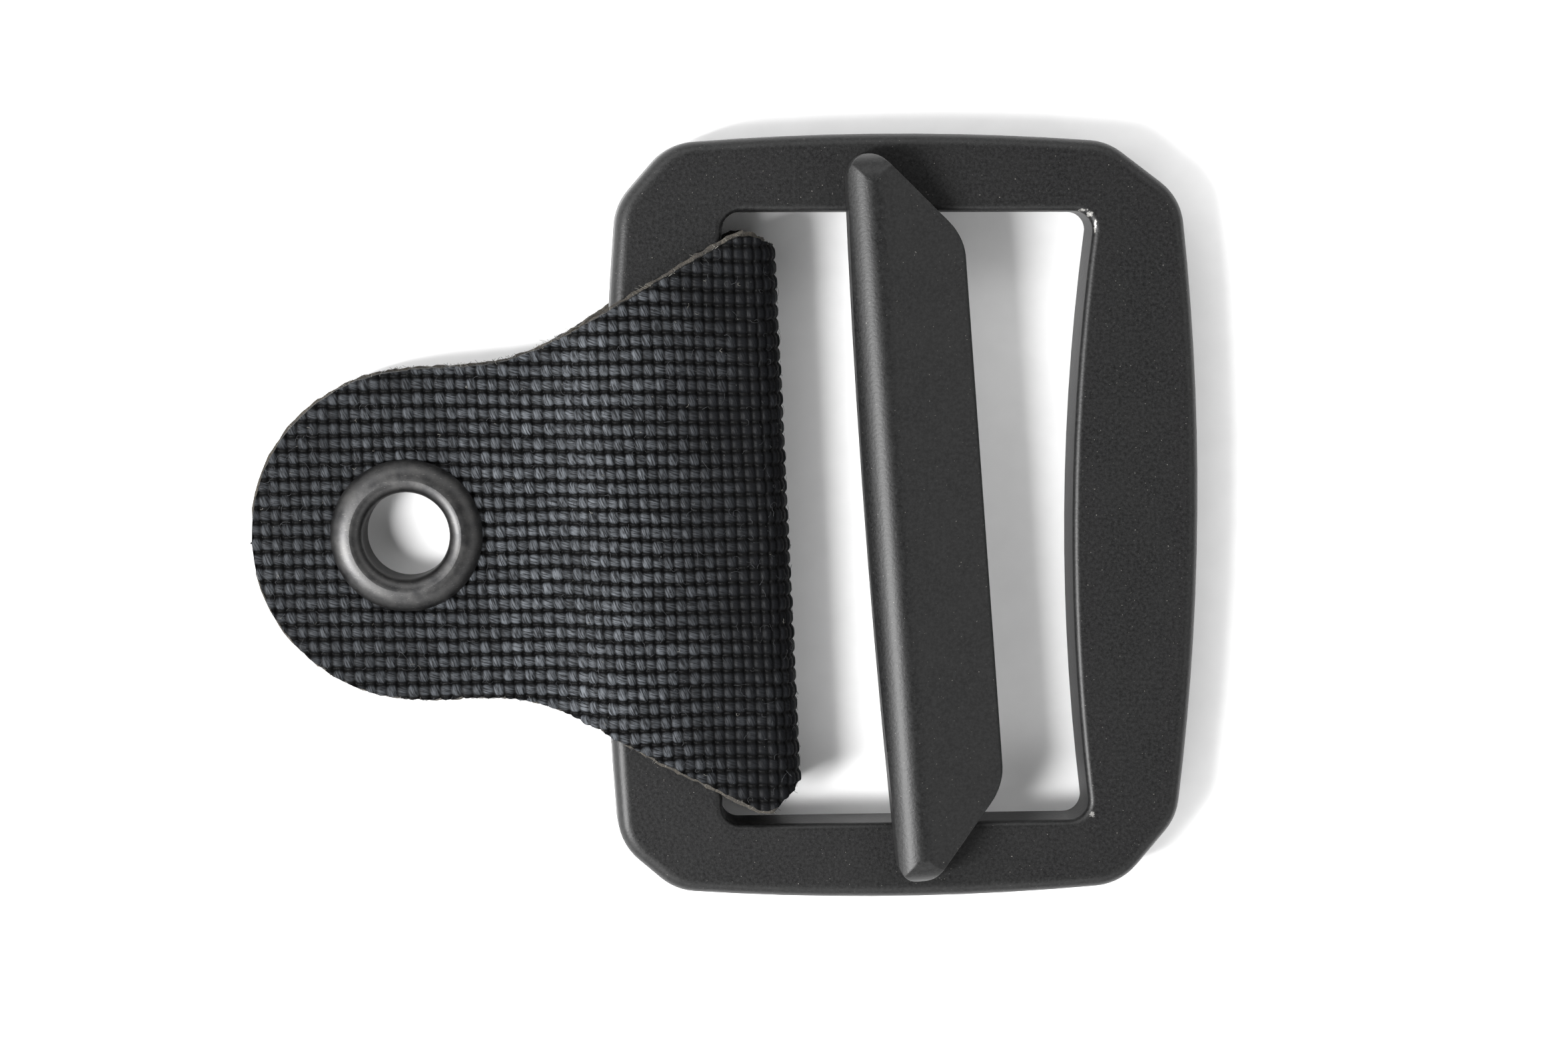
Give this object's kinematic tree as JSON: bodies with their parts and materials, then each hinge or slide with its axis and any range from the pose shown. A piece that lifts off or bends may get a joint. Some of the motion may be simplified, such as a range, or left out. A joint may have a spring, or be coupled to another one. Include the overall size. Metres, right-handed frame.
{
  "type": "strap adjuster buckle",
  "caption": "Strap adjuster: a rectangular frame with a floating wedge-shaped slide bar and a folded fabric pull tab ending in an eyelet.",
  "frame": {"origin": "on the plane the buckle lies on, under the centre of the frame's window", "axes": "+X from the pull tab to the gripping bar, +Y along the bars, +Z out of the front face"},
  "size_m": [0.0638, 0.0514, 0.0081],
  "materials": {
    "black_coating": "matte fine-textured coating over cast metal",
    "face_fabric": "ballistic weave nylon",
    "lining": "grey bonded backing",
    "gunmetal": "satin gunmetal plating"
  },
  "bodies": {
    "frame": {"frame": "black_coating"},
    "slide_bar": {"slide_bar": "black_coating"},
    "tab_loop": {"tab_loop_fabric": "face_fabric", "tab_loop_lining": "lining"},
    "tab_tongue": {"tab_tongue_front": "face_fabric", "tab_tongue_lining": "lining", "tab_tongue_back": "face_fabric", "eyelet": "gunmetal", "eyelet_washer": "gunmetal"}
  },
  "joints": [
    {"name": "bar_slide", "type": "slide", "parent": "frame", "child": "slide_bar", "axis": [1, 0, 0], "range_m": [-0.0046, 0.008]},
    {"name": "tab_play", "type": "slide", "parent": "frame", "child": "tab_loop", "axis": [1, 0, 0], "range_m": [-0.002, 0]},
    {"name": "tab_swing", "type": "hinge", "parent": "tab_loop", "child": "tab_tongue", "pos_m": [-0.02404, -0.00099, 0.00317], "axis": [-0.0488, 0.9988, 0], "range_deg": [-80, 90]}
  ]
}
